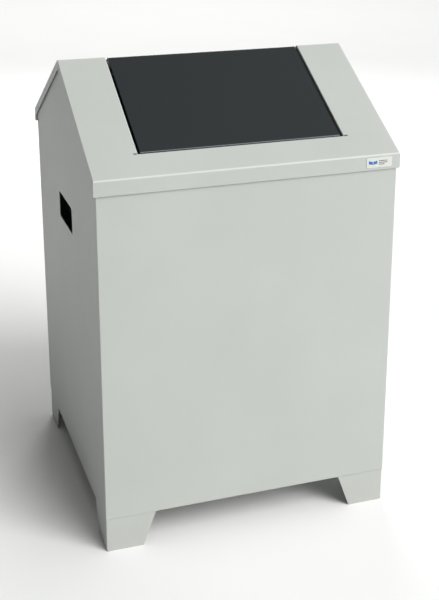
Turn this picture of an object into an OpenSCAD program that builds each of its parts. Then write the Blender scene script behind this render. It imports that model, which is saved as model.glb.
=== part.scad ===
// Free-standing sheet-steel book drop box with a saddle hood and a swing lid.
// Millimetres. X runs to the right, Y to the back, Z up.
// The origin is the centre of the footprint, on the floor.

/* [Body] */
// Width across the two side panels
body_width = 500; // [420:5:650]
// Depth from the front panel to the back panel
body_depth = 500; // [420:5:650]
// Height of the hood's front and back folds
eaves_height = 642; // [520:1:900]
// Height of the ridge
ridge_height = 780; // [640:1:1050]
// Sheet thickness of the body panels
sheet = 1.5; // [1:0.1:2.5]
// Width of the folded flanges inside the corners
corner_flange = 25; // [15:1:40]
// Depth of the folds at the panels' top and bottom edges
edge_fold = 16; // [8:1:24]
// Running gap between parts that move past each other
gap = 0.3; // [0.2:0.05:0.6]

/* [Feet] */
// Height of the front and back panels' bottom edges
foot_height = 60; // [30:1:120]
// Height of the notch between a side panel's feet
side_notch_height = 55; // [25:1:110]
// Width of a foot's front face on the floor
foot_width = 63; // [40:1:100]
// Width by which a foot's front face spreads towards the top
foot_spread = 22; // [0:1:40]
// Width of a foot's side face on the floor
side_foot_width = 60; // [40:1:100]
// Width by which a foot's side face spreads towards the top
side_foot_spread = 18; // [0:1:40]
// Step from the back panel in to the back feet
back_step = 8; // [3:0.5:15]
// Cut at a foot's outer bottom corner
foot_corner = 3; // [1:0.5:8]

/* [Hand holes] */
// Length of a hand hole
hand_hole_length = 110; // [80:1:160]
// Height of a hand hole
hand_hole_height = 46; // [30:1:70]
// Height of a hand hole's centre
hand_hole_centre = 514; // [400:1:700]
// Corner radius of a hand hole
hand_hole_radius = 6; // [2:1:15]
// Depth of the grip strip behind a hand hole
grip_depth = 13; // [8:1:20]
// Height of the grip strip's leg against the panel
grip_leg = 20; // [10:1:40]

/* [Floor] */
// Height of the floor panel's top
floor_height = 80; // [60:1:120]
// Depth of the floor panel's skirt
floor_skirt = 15; // [8:1:30]

/* [Hood] */
// Sheet thickness of the hood
hood_sheet = 1.5; // [1:0.1:2.5]
// Reach of the hood past a side panel
hood_side_reach = 4; // [3:0.5:10]
// Reach of the hood past the front and back panels
hood_end_reach = 3; // [2:0.5:10]
// Height of the front and back lips
lip_height = 25; // [15:1:50]
// Depth of the flanges along the gables, square to the slope
gable_flange = 13.5; // [8:0.5:25]
// Distance from the hood's fold to the throat, along the slope
throat_margin = 50; // [30:1:120]
// Distance from the body's side to the throat
throat_side = 77.5; // [60:0.5:140]
// Depth of the folds along the throat's sides
throat_fold = 14; // [8:1:20]
// Length of the relief slits at the throat's corners
slit_length = 7; // [3:0.5:12]
// Width of the relief slits
slit_width = 3; // [1:0.5:4]
// Half length of the locators under the ridge
locator_run = 60; // [30:1:120]
// Depth of the locators inside the gables
locator_depth = 30; // [15:1:50]
// Width of the locators' flange under the hood
locator_flange = 15; // [8:1:25]

/* [Lid] */
// Sheet thickness of the lid
lid_sheet = 1.5; // [1:0.1:2.5]
// Gap between the lid's side and the throat
lid_side_gap = 4.5; // [3:0.5:10]
// Gap between the lid's bottom edge and the throat
lid_end_gap = 3; // [2:0.5:8]
// Step from the hood's ridge down to the lid's ridge
lid_step = 1.4; // [0:0.1:5]
// Outer radius of the folds along the lid's bottom edges
lid_fold_radius = 4; // [2.5:0.5:8]
// Depth of the returns along the lid's bottom edges
lid_return = 12; // [8:1:18]
// Depth of the pivot under the hood's ridge
pivot_depth = 32; // [26:1:50]
// Angle between the cheeks' lower edge and the vertical at the lid's stops
stop_angle = 17.9; // [8:0.1:35]
// Thickness of the lid's cheeks
cheek_sheet = 2; // [1.5:0.5:4]
// Width of the cheeks' flange under the lid
cheek_flange = 12; // [8:1:25]
// Depth of the cheeks at their ends
cheek_end_depth = 10; // [6:1:20]
// Half width of the cheeks' boss around the pivot
cheek_boss = 14; // [12:1:20]

/* [Pivots] */
// Diameter of the pivot pins
pin_diameter = 8; // [6:0.5:12]
// Radial clearance of a pin in its bush
pin_clearance = 0.05; // [0.02:0.01:0.1]
// Outer diameter of the bushes
bush_diameter = 14; // [11:0.5:18]
// Outer diameter of the bushes' collar
bush_collar = 20; // [16:0.5:24]
// Thickness of the bushes' collar
bush_collar_height = 1.5; // [1:0.5:3]
// Length of a bush inside its cheek
bush_reach = 5; // [3:0.5:10]
// Thickness of the pivot brackets
bracket_sheet = 3; // [2:0.5:5]
// Half length of the pivot brackets along the hood
bracket_run = 70; // [50:1:100]
// Height of the pivot brackets' ends
bracket_end = 20; // [10:1:30]
// Width of the pivot brackets' flange
bracket_flange = 22; // [18:1:35]
// Half width of the pivot brackets' lower end
bracket_toe = 16; // [12:1:30]
// Diameter of the stop pegs
peg_diameter = 8; // [6:0.5:12]
// Outer diameter of the rubber buffers
buffer_diameter = 16; // [12:0.5:24]

/* [Fixings] */
// Diameter of the studs that hold the pivot brackets
stud_diameter = 5; // [4:1:6]
// Length of the studs
stud_length = 11; // [9:0.5:16]
// Width across the corners of the nuts
nut_width = 9.2; // [8:0.1:12]
// Height of the nuts
nut_height = 4; // [3:0.5:6]
// Distance of the studs from the ridge
stud_run = 45; // [30:1:60]

/* [Name plate] */
// Length of the name plate
plate_length = 45; // [30:1:80]
// Height of the name plate
plate_height = 17; // [10:1:22]
// Thickness of the name plate
plate_thickness = 0.8; // [0.5:0.1:2]
// Distance from the body's right side to the name plate
plate_side = 11; // [5:1:40]

/* [Bin] */
// Distance from the body's sides in to the bin
bin_side_room = 35; // [28:1:100]
// Distance from the front and back panels in to the bin
bin_end_room = 45; // [28:1:100]
// Height of the bin's rim above the floor
bin_top = 470; // [300:5:520]
// Sheet thickness of the bin
bin_sheet = 1.2; // [0.8:0.1:2]
// Corner radius of the bin
bin_radius = 14; // [6:1:30]
// Width of the rim around the bin
rim_width = 4; // [2:0.5:8]
// Height of the rim around the bin
rim_height = 9; // [5:1:15]

/* [Bin handles] */
// Diameter of the handles' rod
rod_diameter = 6; // [5:0.5:8]
// Spacing of the handles' arms
handle_spacing = 92; // [80:1:140]
// Drop of the handles below their pivots
handle_drop = 58; // [40:1:80]
// Distance from the rim down to the handles' pivots
handle_below_rim = 32; // [24:1:60]
// Thickness of the handles' mounts
ear_sheet = 2.5; // [2:0.5:4]
// Length of the handles' mounts
ear_length = 136; // [120:1:180]
// Height of the handles' mounts
ear_height = 26; // [20:1:40]
// Distance of the pivot from the mount's face
ear_reach = 9; // [8:0.5:14]
// Diameter of the rivets in the handles' mounts
rivet_diameter = 4; // [3:0.5:5]

/* [Hidden] */

$fn = 48;

powder_grey = [0.80, 0.81, 0.78];
anthracite = [0.20, 0.22, 0.24];
zinc = [0.66, 0.68, 0.70];
bright_steel = [0.76, 0.76, 0.78];
black_rubber = [0.09, 0.09, 0.09];
pale_nylon = [0.88, 0.87, 0.82];
plate_white = [0.93, 0.93, 0.91];

// Body
half_width = body_width / 2;
half_depth = body_depth / 2;
inner_half = half_width - sheet;
side_front = -half_depth + sheet;
side_back = half_depth - back_step;
panel_drop = 2;
panel_top = eaves_height - panel_drop;
fold_play = 1;
fold_half = inner_half - fold_play;
flange_top = panel_top - 2 * sheet - fold_play;
low_fold_play = 5;
low_fold_half = half_width - foot_width - foot_spread - low_fold_play;
grip_overlap = 7;
foot_overlap = 5;
through = 1;

// Roof
hood_half = half_width + hood_side_reach;
hood_run = half_depth + hood_end_reach;
slope = (ridge_height - eaves_height) / hood_run;
pitch = atan(slope);
under_hood = ridge_height - plumb(hood_sheet);
throat_half = half_width - throat_side;
throat_run = hood_run - throat_margin * cos(pitch);
lip_bottom = eaves_height - lip_height;
locator_play = 0.5;
gable_top = under_hood - gap;

// Lid
lid_half = throat_half - lid_side_gap;
lid_run = throat_run - lid_end_gap * cos(pitch);
lid_top = ridge_height - lid_step;
under_lid = lid_top - plumb(lid_sheet);
lid_end_height = lid_top - lid_run * slope;
pivot_height = ridge_height - pivot_depth;
cheek_inset = 1;
cheek_outer = lid_half - cheek_inset;
cheek_run = lid_run - lid_return;
cheek_end_height = under_lid - cheek_run * slope - cheek_end_depth;
cheek_fall = atan((pivot_height - cheek_boss - cheek_end_height) / (cheek_run - cheek_boss));
cheek_offset = cheek_boss * (cos(cheek_fall) - sin(cheek_fall));

// Pivots and stops
bracket_play = 1.5;
bracket_inner = throat_half + hood_sheet + bracket_play;
bracket_outer = bracket_inner + bracket_sheet;
pin_head_step = 2.5;
pin_head_diameter = pin_diameter + 2 * pin_head_step;
pin_head_height = 3;
pin_tail = 4;
pin_end = cheek_outer - cheek_sheet - bush_reach - pin_tail;
clip_height = 1.2;
clip_inset = 1.5;
clip_start = pin_end + clip_inset;
clip_depth = 1;
clip_step = 3;
clip_diameter = pin_diameter + 2 * clip_step;
stop_gap = 0.5;
peg_drop = (cheek_offset + buffer_diameter / 2 + stop_gap) / sin(stop_angle);
peg_height = pivot_height - peg_drop;
peg_head_step = 2;
peg_tail = 3;
peg_end = cheek_outer - cheek_sheet - peg_tail;
bracket_margin = 4;
bracket_bottom = peg_height - buffer_diameter / 2 - bracket_margin;
stud_offset = 1;
stud_side = bracket_outer + (bracket_flange - bracket_sheet) / 2 + stud_offset;
stud_play = 0.25;

// Bin
bin_half_width = half_width - bin_side_room;
bin_half_depth = half_depth - bin_end_room;
bin_bottom = floor_height + gap;
bin_inner = bin_half_width - bin_sheet;
handle_height = bin_top - handle_below_rim;
ear_face = bin_inner - ear_sheet;
handle_axis = ear_face - ear_reach;
ear_play = 0.1;
ear_gap = 1;
ear_wall = 4;
ear_root = 1;
ear_inner = handle_spacing / 2 + rod_diameter / 2 + ear_gap;
rod_tail = 3;
rod_end = ear_inner + ear_sheet + rod_tail;
rivet_head_step = 1.8;
rivet_head = rivet_diameter + 2 * rivet_head_step;
rivet_head_height = 1.6;
rivet_end = 7;
rivet_side = ear_length / 2 - rivet_end;
rivet_edge = 6;
rivet_rise = ear_height / 2 - rivet_edge;

// Vertical height of a sheet that lies on the slope
function plumb(thickness) = thickness / cos(pitch);

// Extrudes an outline drawn in Y and Z from x0 to x1
module along_x(x0, x1) {
    translate([x0, 0, 0])
        rotate([90, 0, 90])
            linear_extrude(height = x1 - x0)
                children();
}

// Extrudes an outline drawn in X and Z from y0 to y1
module along_y(y0, y1) {
    translate([0, y1, 0])
        rotate([90, 0, 0])
            linear_extrude(height = y1 - y0)
                children();
}

// A cylinder along X from x0 to x1
module rod_x(diameter, x0, x1) {
    translate([x0, 0, 0])
        rotate([0, 90, 0])
            cylinder(d = diameter, h = x1 - x0);
}

// A box given by its two corners
module box(low, high) {
    translate(low)
        cube(high - low);
}

// Outline of a band that follows the roof
module saddle(run, top, depth) {
    polygon([[-run, top - run * slope], [0, top], [run, top - run * slope],
             [run, top - run * slope - depth], [0, top - depth],
             [-run, top - run * slope - depth]]);
}

// Puts its children under the hood, Z square to the slope
module on_slope(x, run, side) {
    translate([x, side * run, under_hood - run * slope])
        rotate([-side * pitch, 0, 0])
            children();
}

// Mirrors a left piece to the right
module to_right() {
    mirror([1, 0, 0])
        children();
}

// Outline of a side panel with its two feet and its gable
module side_outline() {
    foot_slant = side_foot_width + side_foot_spread;
    polygon([[side_front, foot_corner], [side_front + foot_corner, 0],
             [side_front + side_foot_width, 0],
             [side_front + foot_slant, side_notch_height],
             [side_back - foot_slant, side_notch_height],
             [side_back - side_foot_width, 0], [side_back - foot_corner, 0],
             [side_back, foot_corner], [side_back, gable_top - side_back * slope],
             [0, gable_top], [side_front, gable_top + side_front * slope]]);
}

// Outline of a corner flange with the foot's wide face below it
module foot_outline() {
    polygon([[-half_width, foot_corner], [-half_width + foot_corner, 0],
             [-half_width + foot_width, 0],
             [-half_width + foot_width + foot_spread, foot_height],
             [-half_width + foot_width + foot_spread, foot_height + foot_overlap],
             [-half_width + corner_flange, foot_height + foot_overlap + corner_flange],
             [-half_width + corner_flange, flange_top], [-half_width, flange_top]]);
}

// Cutter for a hand hole with rounded corners
module hand_hole(x0, x1) {
    half_length = hand_hole_length / 2;
    half_height = hand_hole_height / 2;
    flat_length = half_length - hand_hole_radius;
    flat_height = half_height - hand_hole_radius;
    translate([0, 0, hand_hole_centre]) {
        box([x0, -half_length, -flat_height], [x1, half_length, flat_height]);
        box([x0, -flat_length, -half_height], [x1, flat_length, half_height]);
        for (y = [-flat_length, flat_length], z = [-flat_height, flat_height])
            translate([0, y, z])
                rod_x(2 * hand_hole_radius, x0, x1);
    }
}

module side_panel() {
    difference() {
        union() {
            along_x(-half_width, -inner_half)
                side_outline();
            along_y(side_front, side_front + sheet)
                foot_outline();
            along_y(side_back - sheet, side_back)
                foot_outline();
        }
        hand_hole(-half_width - through, -inner_half + through);
    }
}

module left_side_panel() {
    color(powder_grey)
        side_panel();
}

module right_side_panel() {
    color(powder_grey)
        to_right()
            side_panel();
}

module front_panel() {
    color(powder_grey)
        union() {
            box([-half_width, -half_depth, foot_height],
                [half_width, -half_depth + sheet, panel_top]);
            box([-fold_half, -half_depth, panel_top - sheet],
                [fold_half, -half_depth + edge_fold, panel_top]);
            box([-low_fold_half, -half_depth, foot_height],
                [low_fold_half, -half_depth + edge_fold, foot_height + sheet]);
        }
}

module back_panel() {
    color(powder_grey)
        union() {
            box([-half_width, half_depth - sheet, foot_height],
                [half_width, half_depth, panel_top]);
            box([-fold_half, half_depth - edge_fold, panel_top - sheet],
                [fold_half, half_depth, panel_top]);
            box([-low_fold_half, half_depth - edge_fold, foot_height],
                [low_fold_half, half_depth, foot_height + sheet]);
            for (side = [0, 1])
                mirror([side, 0, 0]) {
                    box([-half_width, side_back, foot_height],
                        [-inner_half, half_depth, panel_top]);
                    box([-half_width, side_back, foot_height],
                        [-half_width + corner_flange, side_back + sheet, flange_top]);
                }
        }
}

module floor_panel() {
    front = side_front + sheet;
    back = side_back - sheet;
    color(powder_grey)
        difference() {
            box([-inner_half, front, floor_height - floor_skirt],
                [inner_half, back, floor_height]);
            box([-inner_half + sheet, front + sheet, floor_height - floor_skirt - through],
                [inner_half - sheet, back - sheet, floor_height - sheet]);
        }
}

module grip_strip() {
    run = hand_hole_length / 2 + grip_overlap;
    bottom = hand_hole_centre + hand_hole_height / 2;
    box([-inner_half, -run, bottom], [-inner_half + sheet, run, bottom + grip_leg]);
    box([-inner_half, -run, bottom], [-inner_half + grip_depth, run, bottom + sheet]);
}

module left_grip_strip() {
    color(powder_grey)
        grip_strip();
}

module right_grip_strip() {
    color(powder_grey)
        to_right()
            grip_strip();
}

module hood() {
    corner_slot = 6;
    corner_slot_width = 2;
    corner_slot_drop = 6;
    slit_height = 2 * (ridge_height - eaves_height);
    color(powder_grey)
        union() {
            difference() {
                union() {
                    along_x(-hood_half, hood_half)
                        saddle(hood_run, ridge_height, plumb(hood_sheet));
                    for (side = [0, 1]) {
                        mirror([side, 0, 0])
                            along_x(-hood_half, -hood_half + hood_sheet)
                                saddle(hood_run, ridge_height, plumb(gable_flange));
                        mirror([0, side, 0])
                            box([-hood_half, -hood_run, lip_bottom],
                                [hood_half, -hood_run + hood_sheet,
                                 eaves_height - hood_sheet / 2]);
                    }
                }
                box([-throat_half, -throat_run, lip_bottom],
                    [throat_half, throat_run, ridge_height + through]);
                for (side = [-1, 1], end = [-1, 1]) {
                    translate([side * (throat_half + slit_length / 2),
                               end * (throat_run - slit_width / 2), eaves_height])
                        cube([slit_length, slit_width, slit_height], center = true);
                    translate([side * hood_half, end * (hood_run - corner_slot_width),
                               eaves_height - corner_slot_drop])
                        cube([3 * hood_sheet, corner_slot_width, corner_slot],
                             center = true);
                }
            }
            for (side = [0, 1])
                mirror([side, 0, 0])
                    along_x(throat_half, throat_half + hood_sheet)
                        saddle(throat_run - slit_width, ridge_height, plumb(throat_fold));
        }
}

module hood_locator() {
    outer = -inner_half + locator_play;
    along_x(outer, outer + hood_sheet)
        saddle(locator_run, under_hood, locator_depth);
    along_x(outer, outer + locator_flange)
        saddle(locator_run, under_hood, plumb(hood_sheet));
}

module left_hood_locator() {
    color(powder_grey)
        hood_locator();
}

module right_hood_locator() {
    color(powder_grey)
        to_right()
            hood_locator();
}

module pivot_bracket() {
    end_top = under_hood - bracket_run * slope;
    difference() {
        union() {
            along_x(-bracket_outer, -bracket_inner)
                polygon([[-bracket_run, end_top], [0, under_hood], [bracket_run, end_top],
                         [bracket_run, end_top - bracket_end],
                         [bracket_toe, bracket_bottom], [-bracket_toe, bracket_bottom],
                         [-bracket_run, end_top - bracket_end]]);
            along_x(-bracket_inner - bracket_flange, -bracket_inner)
                saddle(bracket_run, under_hood, plumb(bracket_sheet));
        }
        translate([0, 0, pivot_height])
            rod_x(pin_diameter, -bracket_outer - through, -bracket_inner + through);
        translate([0, 0, peg_height])
            rod_x(peg_diameter, -bracket_outer - through, -bracket_inner + through);
        for (side = [-1, 1])
            on_slope(-stud_side, stud_run, side)
                translate([0, 0, -stud_length])
                    cylinder(d = stud_diameter + 2 * stud_play, h = stud_length + through);
    }
}

module left_pivot_bracket() {
    color(zinc)
        pivot_bracket();
}

module right_pivot_bracket() {
    color(zinc)
        to_right()
            pivot_bracket();
}

module pivot_pin() {
    translate([0, 0, pivot_height])
        difference() {
            union() {
                rod_x(pin_diameter, -bracket_outer, -pin_end);
                rod_x(pin_head_diameter, -bracket_outer - pin_head_height, -bracket_outer);
            }
            difference() {
                rod_x(pin_diameter + 2 * through, -clip_start - clip_height, -clip_start);
                rod_x(pin_diameter - 2 * clip_depth, -clip_start - clip_height - through,
                      -clip_start + through);
            }
        }
}

module left_pivot_pin() {
    color(bright_steel)
        pivot_pin();
}

module right_pivot_pin() {
    color(bright_steel)
        to_right()
            pivot_pin();
}

module pin_clips() {
    color(bright_steel)
        for (side = [0, 1])
            mirror([side, 0, 0])
                translate([0, 0, pivot_height])
                    difference() {
                        rod_x(clip_diameter, -clip_start - clip_height, -clip_start);
                        rod_x(pin_diameter - 2 * clip_depth,
                              -clip_start - clip_height - through, -clip_start + through);
                    }
}

module stop_peg() {
    translate([0, 0, peg_height]) {
        rod_x(peg_diameter, -bracket_outer, -peg_end);
        rod_x(peg_diameter + 2 * peg_head_step, -bracket_outer - pin_head_height, -bracket_outer);
    }
}

module left_stop_peg() {
    color(bright_steel)
        stop_peg();
}

module right_stop_peg() {
    color(bright_steel)
        to_right()
            stop_peg();
}

module stop_buffer() {
    translate([0, 0, peg_height])
        difference() {
            rod_x(buffer_diameter, -bracket_inner, -peg_end);
            rod_x(peg_diameter, -bracket_inner - through, -peg_end + through);
        }
}

module left_stop_buffer() {
    color(black_rubber)
        stop_buffer();
}

module right_stop_buffer() {
    color(black_rubber)
        to_right()
            stop_buffer();
}

module bracket_studs() {
    color(zinc)
        for (x = [-stud_side, stud_side], side = [-1, 1])
            on_slope(x, stud_run, side)
                translate([0, 0, -stud_length])
                    cylinder(d = stud_diameter, h = stud_length);
}

module bracket_nuts() {
    nut_top = -bracket_sheet;
    color(zinc)
        for (x = [-stud_side, stud_side], side = [-1, 1])
            on_slope(x, stud_run, side)
                translate([0, 0, nut_top - nut_height])
                    difference() {
                        cylinder(d = nut_width, h = nut_height, $fn = 6);
                        translate([0, 0, -through])
                            cylinder(d = stud_diameter, h = nut_height + 2 * through);
                    }
}

module name_plate() {
    right = half_width - plate_side;
    middle = lip_bottom + lip_height / 2;
    color(plate_white)
        box([right - plate_length, -hood_run - plate_thickness, middle - plate_height / 2],
            [right, -hood_run, middle + plate_height / 2]);
}

// A point of the lid's back edge, given along and square to the slope
function edge_point(along, up) = [lid_run + along * cos(pitch) + up * sin(pitch),
                                  lid_end_height - along * sin(pitch) + up * cos(pitch)];

// The rounded fold and the return at the lid's back edge
function edge_points() =
    let (steps = 6, outer = lid_fold_radius, inner = lid_fold_radius - lid_sheet)
    concat([for (i = [0:steps]) let (t = 90 - i * 90 / steps)
            edge_point(outer * cos(t) - outer, outer * sin(t) - outer)],
           [edge_point(0, -lid_return), edge_point(-lid_sheet, -lid_return)],
           [for (i = [0:steps]) let (t = i * 90 / steps)
            edge_point(inner * cos(t) - outer, inner * sin(t) - outer)]);

module lid_shell() {
    back = edge_points();
    last = len(back) - 1;
    front = [for (i = [0:last]) [-back[last - i][0], back[last - i][1]]];
    color(anthracite)
        along_x(-lid_half, lid_half)
            polygon(concat([[0, lid_top]], back, [[0, under_lid]], front));
}

module lid_cheek() {
    difference() {
        union() {
            along_x(-cheek_outer, -cheek_outer + cheek_sheet)
                polygon([[-cheek_run, under_lid - cheek_run * slope], [0, under_lid],
                         [cheek_run, under_lid - cheek_run * slope],
                         [cheek_run, cheek_end_height],
                         [cheek_boss, pivot_height - cheek_boss],
                         [-cheek_boss, pivot_height - cheek_boss],
                         [-cheek_run, cheek_end_height]]);
            along_x(-cheek_outer, -cheek_outer + cheek_flange)
                saddle(cheek_run, under_lid, plumb(cheek_sheet));
        }
        translate([0, 0, pivot_height])
            rod_x(bush_diameter, -cheek_outer - through, -cheek_outer + cheek_sheet + through);
    }
}

module left_lid_cheek() {
    color(anthracite)
        lid_cheek();
}

module right_lid_cheek() {
    color(anthracite)
        to_right()
            lid_cheek();
}

module lid_bush() {
    start = -cheek_outer - bush_collar_height;
    end = -cheek_outer + cheek_sheet + bush_reach;
    translate([0, 0, pivot_height])
        difference() {
            union() {
                rod_x(bush_collar, start, -cheek_outer);
                rod_x(bush_diameter, start, end);
            }
            rod_x(pin_diameter + 2 * pin_clearance, start - through, end + through);
        }
}

module left_lid_bush() {
    color(pale_nylon)
        lid_bush();
}

module right_lid_bush() {
    color(pale_nylon)
        to_right()
            lid_bush();
}

// A block with rounded upright corners
module rounded_block(half_x, half_y, radius, z0, z1) {
    box([-half_x, radius - half_y, z0], [half_x, half_y - radius, z1]);
    box([radius - half_x, -half_y, z0], [half_x - radius, half_y, z1]);
    for (x = [radius - half_x, half_x - radius], y = [radius - half_y, half_y - radius])
        translate([x, y, z0])
            cylinder(r = radius, h = z1 - z0);
}

// Puts its children at each of the rivets' places, Z pointing inwards
module rivet_places() {
    for (side = [0, 1], y = [-rivet_side, rivet_side], z = [-rivet_rise, rivet_rise])
        mirror([side, 0, 0])
            translate([-bin_half_width, y, handle_height + z])
                rotate([0, 90, 0])
                    children();
}

module bin_shell() {
    color(zinc)
        difference() {
            rounded_block(bin_half_width, bin_half_depth, bin_radius, bin_bottom, bin_top);
            rounded_block(bin_inner, bin_half_depth - bin_sheet, bin_radius - bin_sheet,
                          bin_bottom + bin_sheet, bin_top + through);
            rivet_places()
                translate([0, 0, -through])
                    cylinder(d = rivet_diameter, h = bin_sheet + 2 * through);
        }
}

module bin_rim() {
    color(zinc)
        difference() {
            rounded_block(bin_half_width + rim_width, bin_half_depth + rim_width,
                          bin_radius + rim_width, bin_top - rim_height, bin_top);
            rounded_block(bin_half_width, bin_half_depth, bin_radius,
                          bin_top - rim_height - through, bin_top + through);
        }
}

module handle_mount() {
    ear_radius = rod_diameter / 2 + ear_wall;
    difference() {
        union() {
            box([-bin_inner, -ear_length / 2, handle_height - ear_height / 2],
                [-ear_face, ear_length / 2, handle_height + ear_height / 2]);
            for (side = [0, 1])
                mirror([0, side, 0]) {
                    box([-ear_face - ear_root, ear_inner, handle_height - ear_radius],
                        [-handle_axis, ear_inner + ear_sheet, handle_height + ear_radius]);
                    translate([-handle_axis, ear_inner + ear_sheet, handle_height])
                        rotate([90, 0, 0])
                            cylinder(r = ear_radius, h = ear_sheet);
                }
        }
        translate([-handle_axis, ear_length / 2, handle_height])
            rotate([90, 0, 0])
                cylinder(d = rod_diameter + 2 * ear_play, h = ear_length);
        rivet_places()
            cylinder(d = rivet_diameter, h = bin_sheet + ear_sheet + through);
    }
}

module left_handle_mount() {
    color(zinc)
        handle_mount();
}

module right_handle_mount() {
    color(zinc)
        to_right()
            handle_mount();
}

module handle() {
    arm = handle_spacing / 2;
    translate([-handle_axis, 0, handle_height]) {
        for (side = [0, 1])
            mirror([0, side, 0]) {
                translate([0, rod_end, 0])
                    rotate([90, 0, 0])
                        cylinder(d = rod_diameter, h = rod_end - arm);
                translate([0, arm, 0])
                    sphere(d = rod_diameter);
                translate([0, arm, -handle_drop])
                    cylinder(d = rod_diameter, h = handle_drop);
                translate([0, arm, -handle_drop])
                    sphere(d = rod_diameter);
            }
        translate([0, arm, -handle_drop])
            rotate([90, 0, 0])
                cylinder(d = rod_diameter, h = handle_spacing);
    }
}

module left_handle() {
    color(bright_steel)
        handle();
}

module right_handle() {
    color(bright_steel)
        to_right()
            handle();
}

module handle_rivets() {
    grip = bin_sheet + ear_sheet;
    color(bright_steel)
        rivet_places() {
            cylinder(d = rivet_diameter, h = grip);
            translate([0, 0, -rivet_head_height])
                cylinder(d = rivet_head, h = rivet_head_height);
            translate([0, 0, grip])
                cylinder(d = rivet_head, h = rivet_head_height);
        }
}

left_side_panel();
right_side_panel();
front_panel();
back_panel();
floor_panel();
left_grip_strip();
right_grip_strip();
hood();
left_hood_locator();
right_hood_locator();
left_pivot_bracket();
right_pivot_bracket();
left_pivot_pin();
right_pivot_pin();
pin_clips();
left_stop_peg();
right_stop_peg();
left_stop_buffer();
right_stop_buffer();
bracket_studs();
bracket_nuts();
name_plate();
lid_shell();
left_lid_cheek();
right_lid_cheek();
left_lid_bush();
right_lid_bush();
bin_shell();
bin_rim();
left_handle_mount();
right_handle_mount();
left_handle();
right_handle();
handle_rivets();
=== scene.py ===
"""Looks of a sheet-steel book drop box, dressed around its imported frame.

Every piece keeps the size and place that the frame gives it. Sheet edges get
their bend radii here, fixings get their threads and chamfers, and each surface
gets the finish that such a box has.
"""

import logging
import math
from collections.abc import Callable, Iterable
from dataclasses import dataclass, field
from enum import Enum
from typing import Any

import bmesh
import bpy
from mathutils import Matrix, Vector


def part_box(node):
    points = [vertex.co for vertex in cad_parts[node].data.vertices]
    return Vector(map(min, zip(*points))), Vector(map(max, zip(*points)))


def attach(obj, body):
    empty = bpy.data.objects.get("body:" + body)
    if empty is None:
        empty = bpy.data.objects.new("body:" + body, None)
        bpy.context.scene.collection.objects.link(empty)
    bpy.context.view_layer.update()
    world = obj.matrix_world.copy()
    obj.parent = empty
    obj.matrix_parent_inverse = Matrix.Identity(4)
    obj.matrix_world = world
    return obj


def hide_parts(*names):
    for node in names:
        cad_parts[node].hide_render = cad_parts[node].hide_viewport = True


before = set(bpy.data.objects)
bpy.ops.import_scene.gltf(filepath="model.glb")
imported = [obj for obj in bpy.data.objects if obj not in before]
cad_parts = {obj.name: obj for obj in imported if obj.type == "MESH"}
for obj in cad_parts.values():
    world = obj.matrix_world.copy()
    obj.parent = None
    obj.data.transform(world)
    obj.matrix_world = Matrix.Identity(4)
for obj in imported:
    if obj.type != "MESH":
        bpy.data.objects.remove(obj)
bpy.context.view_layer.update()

log = logging.getLogger("drop_box")

MM = 0.001
PICTURE = (439, 600)

SAME_M = 4e-5  # lengths this close count as the same
MERGE_M = 1e-6  # points this close become one
NODE_MERGE_M = 2e-6  # the same, for the frame's own meshes
FLAT_DEG = 0.4  # faces that meet flatter than this are one face
SHARP_DEG = 35  # edges sharper than this are rounded, or shaded as edges
NORMAL_WEIGHT = 90  # how far large faces keep their edges' shading flat

FOLD_STEPS = 3
BEND_STEPS = 8
CORNER_STEPS = 6
ROD_STEPS = 24
CLIP_STEPS = 32
ARC_STEP_DEG = 15
DOME_STEP_DEG = 18


# ---------------------------------------------------------------- colours and nodes


def linear(hex_code: str) -> tuple[float, float, float, float]:
    """Turns an sRGB hex value to linear.

    Args:
        hex_code: A value such as "#C7CAC5".

    Returns:
        Linear red, green and blue, with an alpha of 1.
    """
    parts = [int(hex_code[i : i + 2], 16) / 255 for i in (1, 3, 5)]
    red, green, blue = (
        c / 12.92 if c <= 0.04045 else ((c + 0.055) / 1.055) ** 2.4 for c in parts
    )
    return red, green, blue, 1.0


def add_node(
    tree: bpy.types.NodeTree,
    kind: str,
    inputs: dict[str | int, Any] | None = None,
    **settings: Any,
) -> bpy.types.Node:
    """Adds a node with its settings, values and links.

    Args:
        tree: The node tree that takes the node.
        kind: The node's type name.
        inputs: A value, or a socket to link from, for each input socket.
        **settings: The node's own properties.

    Returns:
        The new node.
    """
    node = tree.nodes.new(kind)
    for name, value in settings.items():
        setattr(node, name, value)
    for socket, value in (inputs or {}).items():
        if isinstance(value, bpy.types.NodeSocket):
            tree.links.new(value, node.inputs[socket])
        else:
            node.inputs[socket].default_value = value
    return node


# ---------------------------------------------------------------- finishes


def surface(
    tree: bpy.types.NodeTree,
    shader: bpy.types.Node,
    colour: bpy.types.NodeSocket,
    gloss: tuple[bpy.types.NodeSocket, float, float],
    relief: tuple[bpy.types.NodeSocket, float],
) -> None:
    """Gives a shader its colour, an uneven roughness and a fine relief.

    Args:
        tree: The material's node tree.
        shader: The principled shader.
        colour: The socket that gives the colour.
        gloss: A pattern's socket, and the roughness where it is 0 and where it is 1.
        relief: A pattern's socket, and its depth in millimetres.
    """
    pattern, least, most = gloss
    rough = add_node(
        tree, "ShaderNodeMapRange", {"Value": pattern, "To Min": least, "To Max": most}
    )
    height, depth_mm = relief
    bump = add_node(
        tree,
        "ShaderNodeBump",
        {"Strength": 1.0, "Distance": depth_mm * MM, "Height": height},
    )
    tree.links.new(colour, shader.inputs["Base Color"])
    tree.links.new(rough.outputs[0], shader.inputs["Roughness"])
    tree.links.new(bump.outputs[0], shader.inputs["Normal"])


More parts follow.
